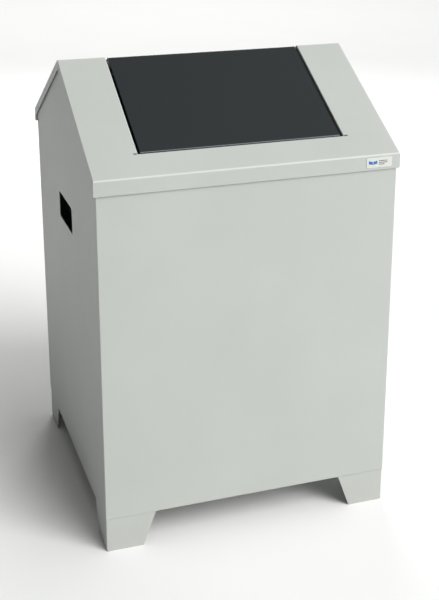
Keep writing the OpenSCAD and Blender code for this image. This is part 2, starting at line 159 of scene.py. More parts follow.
@dataclass(frozen=True)
class Finish:
    """A surface finish, made once and shared by every piece that has it."""

    name: str
    slot: str

    def material(self) -> bpy.types.Material:
        """Gives the finish's material, and makes it at the first call."""
        made = bpy.data.materials.get(self.name)
        if made is None:
            made = bpy.data.materials.new(self.name)
            made.use_nodes = True
            tree = made.node_tree
            tree.nodes.clear()
            shader = add_node(tree, "ShaderNodeBsdfPrincipled")
            add_node(
                tree, "ShaderNodeOutputMaterial", {"Surface": shader.outputs["BSDF"]}
            )
            self.dress(tree, shader)
        return made

    def dress(self, tree: bpy.types.NodeTree, shader: bpy.types.Node) -> None:
        """Adds the finish's own pattern to its shader.

        Args:
            tree: The material's node tree.
            shader: The principled shader.
        """
        raise NotImplementedError


@dataclass(frozen=True)
class PowderCoat(Finish):
    """Satin powder coat on sheet steel: an even colour with a soft orange peel.

    The eye gets broad, soft highlights that break up slightly, a little unevenness
    in the film, and rounded edges in the edge colour: a touch lighter on the greys,
    where the film is thinner, and a painted highlight on the anthracite.
    """

    colour: str = "#B9BCB8"
    shade: str = "#AFB3AE"
    # Edge colour: lighter where the film is thinner; on the anthracite, a painted
    # highlight.
    edge: str = "#CACDCA"
    edge_tint_strength: float = 0.55
    grime: str = "#A9A89F"
    grime_height_mm: float = 90.0
    smear_mm: float = 28.0
    roughness: float = 0.45
    roughness_play: float = 0.05
    gloss: float = 0.28
    patch_mm: float = 170.0
    peel_mm: float = 3.5  # the real peel is about 2 mm, drawn coarser so that it shows
    peel_depth_mm: float = 0.035
    grain_mm: float = 2.4
    soiling: float = 0.35

    def dress(self, tree: bpy.types.NodeTree, shader: bpy.types.Node) -> None:
        """Adds film unevenness, edge tint, floor grime, grain and orange peel."""
        place = add_node(tree, "ShaderNodeTexCoord").outputs["Object"]
        patches = add_node(
            tree,
            "ShaderNodeTexNoise",
            {"Vector": place, "Scale": 1 / (self.patch_mm * MM), "Detail": 3.0},
        )
        film = add_node(
            tree,
            "ShaderNodeMix",
            {0: patches.outputs["Fac"], 6: linear(self.colour), 7: linear(self.shade)},
            data_type="RGBA",
        )
        # Rounded edges take the edge colour: wear on the greys, a painted highlight on
        # the lid's folds and cheeks.
        wear_and_highlight = add_node(tree, "ShaderNodeAttribute", attribute_name="edge_wear_and_highlight")
        edge_tint = add_node(
            tree,
            "ShaderNodeMath",
            {0: wear_and_highlight.outputs["Fac"], 1: self.edge_tint_strength},
            operation="MULTIPLY",
        )
        edged = add_node(
            tree,
            "ShaderNodeMix",
            {0: edge_tint.outputs[0], 6: film.outputs[2], 7: linear(self.edge)},
            data_type="RGBA",
        )
        height = add_node(tree, "ShaderNodeSeparateXYZ", {0: place}).outputs["Z"]
        low = add_node(
            tree,
            "ShaderNodeMapRange",
            {"Value": height, "From Min": self.grime_height_mm * MM, "From Max": 0.0},
            interpolation_type="SMOOTHSTEP",
        )
        smears = add_node(
            tree,
            "ShaderNodeTexNoise",
            {
                "Vector": place,
                "Scale": 1 / (self.smear_mm * MM),
                "Detail": 5.0,
                "Roughness": 0.65,
            },
        )
        soil = add_node(
            tree,
            "ShaderNodeMath",
            {0: low.outputs[0], 1: smears.outputs["Fac"]},
            operation="MULTIPLY",
        )
        soiled = add_node(
            tree,
            "ShaderNodeMath",
            {0: soil.outputs[0], 1: self.soiling},
            operation="MULTIPLY",
        )
        final = add_node(
            tree,
            "ShaderNodeMix",
            {0: soiled.outputs[0], 6: edged.outputs[2], 7: linear(self.grime)},
            data_type="RGBA",
        )
        grain = add_node(
            tree,
            "ShaderNodeTexNoise",
            {"Vector": place, "Scale": 1 / (self.grain_mm * MM), "Detail": 2.0},
        )
        peel = add_node(
            tree,
            "ShaderNodeTexNoise",
            {
                "Vector": place,
                "Scale": 1 / (self.peel_mm * MM),
                "Detail": 2.0,
                "Roughness": 0.4,
            },
        )
        least, most = (self.roughness + s * self.roughness_play for s in (-1, 1))
        gloss = (grain.outputs["Fac"], least, most)
        relief = (peel.outputs["Fac"], self.peel_depth_mm)
        surface(tree, shader, final.outputs[2], gloss, relief)
        shader.inputs["IOR"].default_value = 1.5
        shader.inputs["Specular IOR Level"].default_value = self.gloss


@dataclass(frozen=True)
class PlatedSteel(Finish):
    """Zinc on steel: cool grey metal whose crystals catch the light one by one.

    Hot-dip galvanised sheet shows large spangle, bright zinc plate nearly none.
    """

    colour: str = "#B9BEC2"
    shade: str = "#868C91"
    roughness: float = 0.4
    spangle_mm: float = 16.0
    contrast: float = 0.9
    glossier: float = 0.12
    duller: float = 0.16
    scratch_mm: float = 30.0
    scratch_stretch: float = 18.0
    scratch_depth_mm: float = 0.01
    metal: float = 1.0

    def dress(self, tree: bpy.types.NodeTree, shader: bpy.types.Node) -> None:
        """Adds spangle to the colour and gloss, and fine handling scratches."""
        place = add_node(tree, "ShaderNodeTexCoord").outputs["Object"]
        spangle = add_node(
            tree,
            "ShaderNodeTexVoronoi",
            {"Vector": place, "Scale": 1 / (self.spangle_mm * MM)},
        )
        value = add_node(
            tree, "ShaderNodeSeparateColor", {0: spangle.outputs["Color"]}
        ).outputs[0]
        amount = add_node(
            tree,
            "ShaderNodeMath",
            {0: value, 1: self.contrast},
            operation="MULTIPLY",
        )
        metal = add_node(
            tree,
            "ShaderNodeMix",
            {0: amount.outputs[0], 6: linear(self.colour), 7: linear(self.shade)},
            data_type="RGBA",
        )
        stretch = (1, 1, self.scratch_stretch)
        lines = add_node(tree, "ShaderNodeMapping", {0: place, "Scale": stretch})
        scratches = add_node(
            tree,
            "ShaderNodeTexNoise",
            {
                "Vector": lines.outputs[0],
                "Scale": 1 / (self.scratch_mm * MM),
                "Detail": 6.0,
            },
        )
        least = self.roughness - self.glossier * self.contrast
        most = self.roughness + self.duller * self.contrast
        relief = (scratches.outputs["Fac"], self.scratch_depth_mm)
        surface(tree, shader, metal.outputs[2], (value, least, most), relief)
        shader.inputs["Metallic"].default_value = self.metal


@dataclass(frozen=True)
class Moulded(Finish):
    """Moulded rubber or nylon: a dull, faintly mottled skin from the mould."""

    colour: str = "#1C1C1C"
    shade: str = "#262624"
    roughness: float = 0.7
    roughness_play: float = 0.06
    mottle_mm: float = 6.0
    skin_mm: float = 0.8
    skin_depth_mm: float = 0.02

    def dress(self, tree: bpy.types.NodeTree, shader: bpy.types.Node) -> None:
        """Adds mottling and the mould's fine skin."""
        place = add_node(tree, "ShaderNodeTexCoord").outputs["Object"]
        mottle = add_node(
            tree,
            "ShaderNodeTexNoise",
            {"Vector": place, "Scale": 1 / (self.mottle_mm * MM), "Detail": 3.0},
        )
        tone = add_node(
            tree,
            "ShaderNodeMix",
            {0: mottle.outputs["Fac"], 6: linear(self.colour), 7: linear(self.shade)},
            data_type="RGBA",
        )
        skin = add_node(
            tree,
            "ShaderNodeTexNoise",
            {"Vector": place, "Scale": 1 / (self.skin_mm * MM)},
        )
        least, most = (self.roughness + s * self.roughness_play for s in (-1, 1))
        gloss = (mottle.outputs["Fac"], least, most)
        relief = (skin.outputs["Fac"], self.skin_depth_mm)
        surface(tree, shader, tone.outputs[2], gloss, relief)


@dataclass(frozen=True)
class StudioPaper(Finish):
    """Seamless studio paper: matt and nearly white, with faint, broad clouds."""

    colour: str = "#EDEDEC"
    shade: str = "#EAEAE9"
    cloud_mm: float = 1000 / 3
    roughness: float = 0.9

    def dress(self, tree: bpy.types.NodeTree, shader: bpy.types.Node) -> None:
        """Adds the paper's faint unevenness."""
        place = add_node(tree, "ShaderNodeTexCoord").outputs["Object"]
        clouds = add_node(
            tree,
            "ShaderNodeTexNoise",
            {"Vector": place, "Scale": 1 / (self.cloud_mm * MM)},
        )
        tone = add_node(
            tree,
            "ShaderNodeMix",
            {0: clouds.outputs["Fac"], 6: linear(self.colour), 7: linear(self.shade)},
            data_type="RGBA",
        )
        tree.links.new(tone.outputs[2], shader.inputs["Base Color"])
        shader.inputs["Roughness"].default_value = self.roughness


# Pale grey with a faint green cast, a little soiled near the floor. The hood is clean.
LIGHT_GREY = PowderCoat("powder_coat_light_grey", "cabinet_powder_coat")
HOOD_GREY = PowderCoat("powder_coat_light_grey_hood", "hood_powder_coat", soiling=0.0)
# Nearly black and slightly blue: only its sheen shows its shape. Its light
# blue-grey edge colour is a painted highlight on the lid's end folds and cheeks.
ANTHRACITE = PowderCoat(
    "powder_coat_anthracite",
    "lid_powder_coat",
    colour="#1D2224",
    shade="#1A1F21",
    # Painted highlight colour for the rounded edges.
    edge="#7B848E",
    roughness=0.36,
    soiling=0.0,
)
# Dull blue-grey zinc in large crystals, each a little lighter or darker.
GALVANISED = PlatedSteel(
    "hot_dip_galvanised_sheet",
    "galvanised_sheet",
    spangle_mm=13.0,
    contrast=0.55,
    metal=0.65,
)
# Thin electroplated zinc: brighter and nearly even.
ZINC_PLATE = PlatedSteel(
    "bright_zinc_plate",
    "zinc_plate",
    colour="#BCC2C8",
    shade="#ABB2B8",
    roughness=0.3,
    spangle_mm=5.0,
    contrast=0.25,
    scratch_depth_mm=0.003,
    metal=0.8,
)
# Lathe-turned bar: the smoothest metal here, with tight highlights.
TURNED_STEEL = PlatedSteel(
    "turned_steel",
    "bright_steel",
    colour="#C4C6C8",
    shade="#B4B7BA",
    roughness=0.22,
    spangle_mm=3.0,
    contrast=0.2,
    scratch_depth_mm=0.003,
)
# Drawn and plated wire: nearly even, with one narrow highlight along it.
HANDLE_WIRE = PlatedSteel(
    "zinc_plated_wire",
    "handle_wire",
    colour="#BFC3C6",
    shade="#A5AAAE",
    roughness=0.26,
    spangle_mm=4.0,
    contrast=0.15,
    scratch_depth_mm=0.002,
    metal=0.85,
)
# Painted shade: near-black metal on the relief slits' walls, so that the narrow slits
# show dark.
SLIT_SHADE = PlatedSteel(
    "slit_painted_shade",
    "hood_powder_coat",
    colour="#2B2B29",
    shade="#1E1E1D",
    roughness=0.6,
    spangle_mm=2.0,
    contrast=0.5,
)
# Black rubber with hardly any shine.
RUBBER = Moulded("moulded_rubber", "rubber")
# Natural nylon: creamy, with a waxy gloss.
NYLON = Moulded(
    "moulded_nylon",
    "nylon",
    colour="#E2DFD2",
    shade="#D8D5C6",
    roughness=0.45,
)
# The printed plate: smooth off-white plastic and two flat inks.
PLATE_FACE = Moulded(
    "printed_plate_white",
    "plate",
    colour="#CED0CB",
    shade="#C9CBC6",
    roughness=0.3,
    skin_depth_mm=0.004,
)
PLATE_GREY = Moulded(
    "printed_ink_grey",
    "plate",
    colour="#4A4D50",
    shade="#434649",
    roughness=0.35,
    skin_depth_mm=0.004,
)
PLATE_BLUE = Moulded(
    "printed_ink_blue",
    "plate",
    colour="#2F6FB2",
    shade="#2A66A6",
    roughness=0.35,
    skin_depth_mm=0.004,
)


# ---------------------------------------------------------------- mesh helpers


class Body(Enum):
    """The frame's moving bodies."""

    CABINET = "cabinet"
    HOOD = "hood"
    LID = "lid"
    BIN = "bin"
    LEFT_HANDLE = "left_handle"
    RIGHT_HANDLE = "right_handle"


@dataclass(frozen=True)
class Fold:
    """A bend line along a sheet's edge.

    Attributes:
        holds: Says whether a point lies on the line.
        radius_mm: The bend's outer radius.
    """

    holds: Callable[[Vector], bool]
    radius_mm: float


def near(a: float, b: float) -> bool:
    """Says whether two lengths in metres agree to a few hundredths of a millimetre."""
    return abs(a - b) < SAME_M


def along_x(place: Iterable[float]) -> Matrix:
    """Gives the transform that lays a shape's Z axis along X, from a place."""
    return Matrix.Translation(Vector(place)) @ Matrix.Rotation(math.pi / 2, 4, "Y")


def along(way: Vector, place: Vector) -> Matrix:
    """Gives the transform that turns a shape's Z axis to a direction, from a place."""
    turn = way.to_track_quat("Z", "Y").to_matrix().to_4x4()
    return Matrix.Translation(place) @ turn


def place_piece(
    mesh: bpy.types.Mesh, name: str, body: Body, finish: Finish, nodes: Iterable[str]
) -> bpy.types.Object:
    """Puts a finished mesh into the scene as a piece.

    Args:
        mesh: The mesh, with its place in its points.
        name: The piece's name.
        body: The body that it rides on.
        finish: Its finish.
        nodes: The frame's nodes that it stands for.

    Returns:
        The piece.
    """
    piece = bpy.data.objects.new(name, mesh)
    bpy.context.scene.collection.objects.link(piece)
    mesh.materials.clear()
    mesh.materials.append(finish.material())
    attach(piece, body.value)
    if nodes:
        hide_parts(*nodes)
    log.info("%s: %d faces, %s", name, len(mesh.polygons), finish.name)
    return piece


def soft_mesh(
    shape: bmesh.types.BMesh, name: str, folds: Iterable[Fold], cut_mm: float
) -> bpy.types.Mesh:
    """Rounds a shape's sharp edges, with a larger radius along its folds.

    Args:
        shape: The sharp shape, which is freed.
        name: The new mesh's name.
        folds: The bend lines and their radii.
        cut_mm: The radius of every other edge.

    Returns:
        The rounded mesh, smooth shaded, with an edge_wear_and_highlight attribute on
        its rounded faces.
    """
    folds = list(folds)
    widest = max([cut_mm, *(fold.radius_mm for fold in folds)])
    weight = shape.edges.layers.float.new("bevel_weight_edge")
    flat = math.radians(SHARP_DEG)
    for edge in shape.edges:
        if len(edge.link_faces) != 2 or edge.calc_face_angle() < flat:
            continue
        radius = cut_mm
        for fold in folds:
            if all(fold.holds(point.co) for point in edge.verts):
                radius = fold.radius_mm
        edge[weight] = radius / widest
    sharp = bpy.data.meshes.new(name + "_sharp")
    shape.to_mesh(sharp)
    shape.free()
    carrier = bpy.data.objects.new(name + "_carrier", sharp)
    bpy.context.scene.collection.objects.link(carrier)
    for _ in range(2):
        sharp.materials.append(None)
    sharp.polygons.foreach_set("use_smooth", [True] * len(sharp.polygons))
    bevel = carrier.modifiers.new("bevel", "BEVEL")
    bevel.width = widest * MM
    bevel.segments = FOLD_STEPS
    bevel.limit_method = "WEIGHT"
    bevel.use_clamp_overlap = False
    bevel.material = 1
    normals = carrier.modifiers.new("normals", "WEIGHTED_NORMAL")
    normals.weight = NORMAL_WEIGHT
    graph = bpy.context.evaluated_depsgraph_get()
    soft = bpy.data.meshes.new_from_object(carrier.evaluated_get(graph))
    soft.name = name
    bpy.data.objects.remove(carrier)
    bpy.data.meshes.remove(sharp)
    rounded = [float(polygon.material_index == 1) for polygon in soft.polygons]
    soft.attributes.new("edge_wear_and_highlight", "FLOAT", "FACE").data.foreach_set("value", rounded)
    for polygon in soft.polygons:
        polygon.material_index = 0
    return soft


def node_shape(node: str) -> bmesh.types.BMesh:
    """Copies a frame node as one merged shape with whole flat faces.

    Args:
        node: The node's name.

    Returns:
        The copy.
    """
    shape = bmesh.new()
    shape.from_mesh(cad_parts[node].data)
    bmesh.ops.remove_doubles(shape, verts=shape.verts, dist=NODE_MERGE_M)
    bmesh.ops.dissolve_limit(
        shape,
        angle_limit=math.radians(FLAT_DEG),
        use_dissolve_boundaries=False,
        verts=shape.verts,
        edges=shape.edges,
    )
    return shape


def node_solids(node: str) -> list[list[Vector]]:
    """Sorts a node's points by solid.

    Args:
        node: The node's name.

    Returns:
        One list of points for each of its solids.
    """
    shape = node_shape(node)
    solids: list[list[Vector]] = []
    left = set(shape.verts)
    while left:
        solid, waiting = [], [left.pop()]
        while waiting:
            point = waiting.pop()
            solid.append(point.co.copy())
            for edge in point.link_edges:
                other = edge.other_vert(point)
                if other in left:
                    left.remove(other)
                    waiting.append(other)
        solids.append(solid)
    shape.free()
    return solids


def to_mesh(shape: bmesh.types.BMesh, name: str) -> bpy.types.Mesh:
    """Turns a closed shape into a mesh whose faces point outwards.

    Args:
        shape: The shape, which is freed.
        name: The mesh's name.

    Returns:
        The mesh, shaded smooth between its sharp edges.
    """
    bmesh.ops.remove_doubles(shape, verts=shape.verts, dist=MERGE_M)
    bmesh.ops.recalc_face_normals(shape, faces=shape.faces)
    mesh = bpy.data.meshes.new(name)
    shape.to_mesh(mesh)
    shape.free()
    mesh.polygons.foreach_set("use_smooth", [True] * len(mesh.polygons))
    mesh.set_sharp_from_angle(angle=math.radians(SHARP_DEG))
    return mesh


def gather(shape: bmesh.types.BMesh, single: bmesh.types.BMesh, lay: Matrix) -> None:
    """Adds one small part to a shape that holds several.

    Args:
        shape: The shape that takes it.
        single: The part, which is freed.
        lay: The transform to its place.
    """
    bmesh.ops.transform(single, matrix=lay, verts=single.verts)
    made = to_mesh(single, "single")
    shape.from_mesh(made)
    bpy.data.meshes.remove(made)


def turned(profile: list[tuple[float, float]], steps: int = 40) -> bmesh.types.BMesh:
    """Turns a profile around the Z axis.

    Args:
        profile: Radius and height of each corner, in metres. A profile that starts
            and ends on the axis makes a solid; any other is closed into a ring.
        steps: The number of steps around.

    Returns:
        The turned shape.
    """
    shape = bmesh.new()
    points = [shape.verts.new((radius, 0, height)) for radius, height in profile]
    first = 1 if profile[0][0] == 0 else 0
    edges = [
        shape.edges.new((points[i - 1], points[i])) for i in range(first, len(points))
    ]
    bmesh.ops.spin(
        shape,
        geom=[*points, *edges],
        cent=(0, 0, 0),
        axis=(0, 0, 1),
        angle=math.tau,
        steps=steps,
        use_merge=True,
    )
    return shape


def bent_rod(points: list[Vector], radius: float, bend: float) -> bmesh.types.BMesh:
    """Bends a round rod along a path.

    Args:
        points: The path's ends and corners.
        radius: The rod's radius.
        bend: The bends' radius, at the rod's centre.

    Returns:
        The closed rod.
    """
    shape = bmesh.new()
    ways = [(b - a).normalized() for a, b in zip(points, points[1:])]
    bmesh.ops.create_circle(
        shape,
        cap_ends=True,
        segments=ROD_STEPS,
        radius=radius,
        matrix=along(ways[0], points[0]),
    )
    tip = shape.faces[:]
    inner: list[bmesh.types.BMFace] = []
    for i, way in enumerate(ways):
        length = (points[i + 1] - points[i]).length
        length -= bend * ((i > 0) + (i < len(ways) - 1))
        if i > 0:
            inner += tip
        pulled = bmesh.ops.extrude_face_region(shape, geom=tip)["geom"]
        tip = [f for f in pulled if isinstance(f, bmesh.types.BMFace)]
        moved = [v for v in pulled if isinstance(v, bmesh.types.BMVert)]
        bmesh.ops.translate(shape, vec=way * length, verts=moved)
        if i < len(ways) - 1:
            after = ways[i + 1]
            inner += tip
            spun = bmesh.ops.spin(
                shape,
                geom=tip,
                cent=points[i + 1] + (after - way) * bend,
                axis=way.cross(after),
                angle=way.angle(after),
                steps=BEND_STEPS,
                use_duplicate=False,
            )["geom_last"]
            tip = [f for f in spun if isinstance(f, bmesh.types.BMFace)]
    left = [face for face in inner if face.is_valid]
    bmesh.ops.delete(shape, geom=left, context="FACES_ONLY")
    return shape


def rounded_loop(
    shape: bmesh.types.BMesh, half_x: float, half_y: float, radius: float
) -> bmesh.types.BMFace:
    """Adds a flat rectangle with rounded corners.

    Args:
        shape: The shape that takes it.
        half_x: Half its length along X.
        half_y: Half its length along Y.
        radius: Its corner radius.

    Returns:
        Its face.
    """
    grid = bmesh.ops.create_grid(shape, x_segments=1, y_segments=1, size=1)
    bmesh.ops.scale(shape, vec=(half_x, half_y, 1), verts=grid["verts"])
    bmesh.ops.bevel(
        shape,
        geom=grid["verts"],
        offset=radius,
        offset_type="OFFSET",
        affect="VERTICES",
        segments=CORNER_STEPS,
        profile=0.5,
        material=-1,
    )
    shape.faces.ensure_lookup_table()
    return shape.faces[0]


def band(
    half_x: float,
    half_y: float,
    radius: float,
    base: float,
    section: list[tuple[float, float]],
) -> bmesh.types.BMesh:
    """Runs a section around a rectangle with rounded corners.

    Args:
        half_x: Half the rectangle's length along X.
        half_y: Half its length along Y.
        radius: Its corner radius.
        base: Its height.
        section: How far out and up each corner of the section lies.

    Returns:
        The closed band.
    """
    shape = bmesh.new()
    face = rounded_loop(shape, half_x, half_y, radius)
    bmesh.ops.translate(shape, vec=(0, 0, base), verts=shape.verts)
    bmesh.ops.delete(shape, geom=[face], context="FACES_ONLY")
    first = ring = shape.edges[:]
    out, up = 0.0, 0.0
    for next_out, next_up in section:
        pulled = bmesh.ops.extrude_edge_only(shape, edges=ring)["geom"]
        points = [v for v in pulled if isinstance(v, bmesh.types.BMVert)]
        ring = [e for e in pulled if isinstance(e, bmesh.types.BMEdge)]
        wider = (
            (half_x + next_out) / (half_x + out),
            (half_y + next_out) / (half_y + out),
            1,
        )
        bmesh.ops.scale(shape, vec=wider, verts=points)
        bmesh.ops.translate(shape, vec=(0, 0, next_up - up), verts=points)
        out, up = next_out, next_up
    bmesh.ops.bridge_loops(shape, edges=[*first, *ring])
    return shape


@dataclass
class SheetPart:
    """One node of the frame, shown with rounded edges and its finish.

    Every rounded edge takes the finish's edge colour, unless wear_and_highlight
    gives a test of its own; the lid's test picks a painted highlight. Faces that
    painted_shade picks get dark painted shade.
    """

    node: str
    body: Body
    finish: Finish
    folds: list[Fold] = field(default_factory=list)
    cut_mm: float = 0.3
    wear_and_highlight: Callable[[bpy.types.MeshPolygon], bool] | None = None
    painted_shade: Callable[[bpy.types.MeshPolygon], bool] | None = None

    def build(self) -> bpy.types.Object:
        """Builds the piece that stands for the node.

        Returns:
            The piece, with its edge wear and painted highlight faces marked, and its
            painted_shade faces in dark painted shade.
        """
        mesh = soft_mesh(
            node_shape(self.node), self.node + "_soft", self.folds, self.cut_mm
        )
        piece = place_piece(
            mesh, self.node + "_soft", self.body, self.finish, [self.node]
        )
        if self.wear_and_highlight:
            wear_and_highlight_marks = [float(self.wear_and_highlight(polygon)) for polygon in mesh.polygons]
            mesh.attributes["edge_wear_and_highlight"].data.foreach_set("value", wear_and_highlight_marks)
        if self.painted_shade:
            mesh.materials.append(SLIT_SHADE.material())
            for polygon in filter(self.painted_shade, mesh.polygons):
                polygon.material_index = 1
        return piece


# ---------------------------------------------------------------- sub-assemblies


@dataclass
class Hood:
    """The saddle hood with everything that is fixed to it."""

    bend_mm: float = 2.0
    ridge_mm: float = 3.0
    throat_bend_mm: float = 2.0
    slit_start_mm: float = 4.6
    slit_end_mm: float = 12.0
    slit_run_mm: float = 5.0
    slit_depths_mm: tuple[float, float] = (0.1, 1.6)
    throat_gap_mm: float = 4.5
    buffer_wall_mm: float = 4.0
    buffer_round_mm: float = 1.6
    buffer_groove_mm: float = 0.9
    clip_lug_mm: float = 1.5
    clip_lug_root_mm: float = 0.375
    clip_lug_width_mm: float = 2.0
    clip_lug_shares: tuple[float, ...] = (0.08, 0.5, 0.92)
    clip_arc_deg: float = 285.0
    thread_pitch_mm: float = 0.8
    thread_depth_mm: float = 0.4

    def slit_walls(self) -> Callable[[bpy.types.MeshPolygon], bool]:
        """Gives a test that says whether a face is a wall of a relief slit."""
        roof = self.slope_line()
        _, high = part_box("lid_shell")
        start, end = (high.x + x * MM for x in (self.slit_start_mm, self.slit_end_mm))
        top, bottom = (depth * MM for depth in self.slit_depths_mm)

        def test(face: bpy.types.MeshPolygon) -> bool:
            """Says whether a face lies in a slit, under the roof's upper surface."""
            middle = face.center
            return (
                start < abs(middle.x) < end
                and abs(abs(middle.y) - high.y) < self.slit_run_mm * MM
                and top < roof(middle) - middle.z < bottom
            )

        return test

    def slope_line(self) -> Callable[[Vector], float]:
        """Gives the roof's height over a point, from the hood's own box."""
        _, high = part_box("hood")
        eaves = self.eaves()
        return lambda point: high.z - abs(point.y) / high.y * (high.z - eaves)

    def eaves(self) -> float:
        """Gives the height of the hood's front fold, where the lip begins."""
        low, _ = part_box("hood")
        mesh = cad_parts["hood"].data
        return max(v.co.z for v in mesh.vertices if near(v.co.y, low.y))

    def buffer(self, node: str) -> None:
        """Builds a moulded buffer with rounded ends and a groove around its middle.

        Args:
            node: The buffer's node.
        """
        low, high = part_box(node)
        length, radius = high.x - low.x, (high.z - low.z) / 2
        bore = radius - self.buffer_wall_mm * MM
        soft, groove = self.buffer_round_mm * MM, self.buffer_groove_mm * MM
        turn = [math.radians(step) for step in range(0, 91, ARC_STEP_DEG)]
        end = [
            (radius - soft + soft * math.sin(t), soft - soft * math.cos(t))
            for t in turn
        ]
        side = [(radius, length / 2 - groove), (radius - groove, length / 2)]
        half = [(bore, 0.0), *end, *side]
        profile = half + [(r, length - z) for r, z in reversed(half[:-1])]
        shape = turned(profile)
        middle = (low + high) / 2
        lay = along_x((low.x, middle.y, middle.z))
        bmesh.ops.transform(shape, matrix=lay, verts=shape.verts)
        mesh = to_mesh(shape, node + "_moulded")
        place_piece(mesh, node + "_moulded", Body.HOOD, RUBBER, [node])

    def clips(self) -> None:
        """Builds the E-clips: open rings, with three lugs that reach into a groove."""
        shape = bmesh.new()
        for solid in node_solids("pin_clips"):
            xs, zs = [p.x for p in solid], [p.z for p in solid]
            height, outer = max(xs) - min(xs), (max(zs) - min(zs)) / 2
            axis = (max(zs) + min(zs)) / 2
            groove = min(math.hypot(p.y, p.z - axis) for p in solid)
            inner = groove + self.clip_lug_mm * MM
            clip = bmesh.new()
            corners = [(inner, 0), (outer, 0), (outer, height), (inner, height)]
            section = clip.faces.new([clip.verts.new((r, 0, z)) for r, z in corners])
            bmesh.ops.spin(
                clip,
                geom=[section, *section.edges, *section.verts],
                cent=(0, 0, 0),
                axis=(0, 0, 1),
                angle=math.radians(self.clip_arc_deg),
                steps=CLIP_STEPS,
                use_duplicate=False,
            )
            reach = inner - groove + self.clip_lug_root_mm * MM
            size = (reach, self.clip_lug_width_mm * MM, height)
            for share in self.clip_lug_shares:
                lug = bmesh.ops.create_cube(clip, size=1)["verts"]
                bmesh.ops.scale(clip, vec=size, verts=lug)
                bmesh.ops.translate(
                    clip, vec=(groove + reach / 2, 0, height / 2), verts=lug
                )
                turn = Matrix.Rotation(math.radians(self.clip_arc_deg) * share, 4, "Z")
                bmesh.ops.transform(clip, matrix=turn, verts=lug)
            gather(shape, clip, along_x((min(xs), 0, axis)))
        mesh = to_mesh(shape, "pin_clips_sprung")
        place_piece(mesh, "pin_clips_sprung", Body.HOOD, TURNED_STEEL, ["pin_clips"])

    def studs(self) -> None:
        """Builds the threaded studs that stand square to the hood's slopes."""
        _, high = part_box("hood")
        pitch = math.atan2(high.z - self.eaves(), high.y)
        step = self.thread_pitch_mm * MM
        shape = bmesh.new()
        for solid in node_solids("bracket_studs"):
            middle = sum(solid, Vector()) / len(solid)
            way = Vector((0, math.copysign(math.sin(pitch), middle.y), math.cos(pitch)))
            heights = [way.dot(p - middle) for p in solid]
            length = max(heights) - min(heights)
            radius = max(abs(p.x - middle.x) for p in solid)
            root = radius - self.thread_depth_mm * MM
            teeth = [
                corner
                for i in range(1, int(length / step))
                for corner in ((root, i * step), (radius, (i + 0.5) * step))
            ]
            profile = [(0, 0), (root, 0), *teeth, (root, length), (0, length)]
            stud = turned(profile, steps=ROD_STEPS)
            gather(shape, stud, along(way, middle + way * min(heights)))
        mesh = to_mesh(shape, "bracket_studs_threaded")
        nodes = ["bracket_studs"]
        place_piece(mesh, "bracket_studs_threaded", Body.HOOD, ZINC_PLATE, nodes)

    def build(self) -> None:
        """Builds the hood and its fixings."""
        _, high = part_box("hood")
        _, lid_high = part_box("lid_shell")
        roof, eaves = self.slope_line(), self.eaves()
        throat = lid_high.x + self.throat_gap_mm * MM
        folds = [
            Fold(lambda p: near(abs(p.y), high.y) and near(p.z, eaves), self.bend_mm),
            Fold(lambda p: near(p.y, 0) and near(p.z, high.z), self.ridge_mm),
            Fold(lambda p: near(abs(p.x), high.x) and near(p.z, roof(p)), self.bend_mm),
            Fold(
                lambda p: near(abs(p.x), throat) and near(p.z, roof(p)),
                self.throat_bend_mm,
            ),
        ]
        # The relief slits' walls get the dark painted shade.
        SheetPart("hood", Body.HOOD, HOOD_GREY, folds, painted_shade=self.slit_walls()).build()
        for side in ("left", "right"):
            SheetPart(f"{side}_hood_locator", Body.HOOD, HOOD_GREY).build()
            SheetPart(f"{side}_pivot_bracket", Body.HOOD, ZINC_PLATE).build()
            SheetPart(f"{side}_pivot_pin", Body.HOOD, TURNED_STEEL, cut_mm=0.5).build()
            SheetPart(f"{side}_stop_peg", Body.HOOD, TURNED_STEEL, cut_mm=0.5).build()
            self.buffer(f"{side}_stop_buffer")
        self.clips()
        self.studs()
        SheetPart("bracket_nuts", Body.HOOD, ZINC_PLATE, cut_mm=0.4).build()


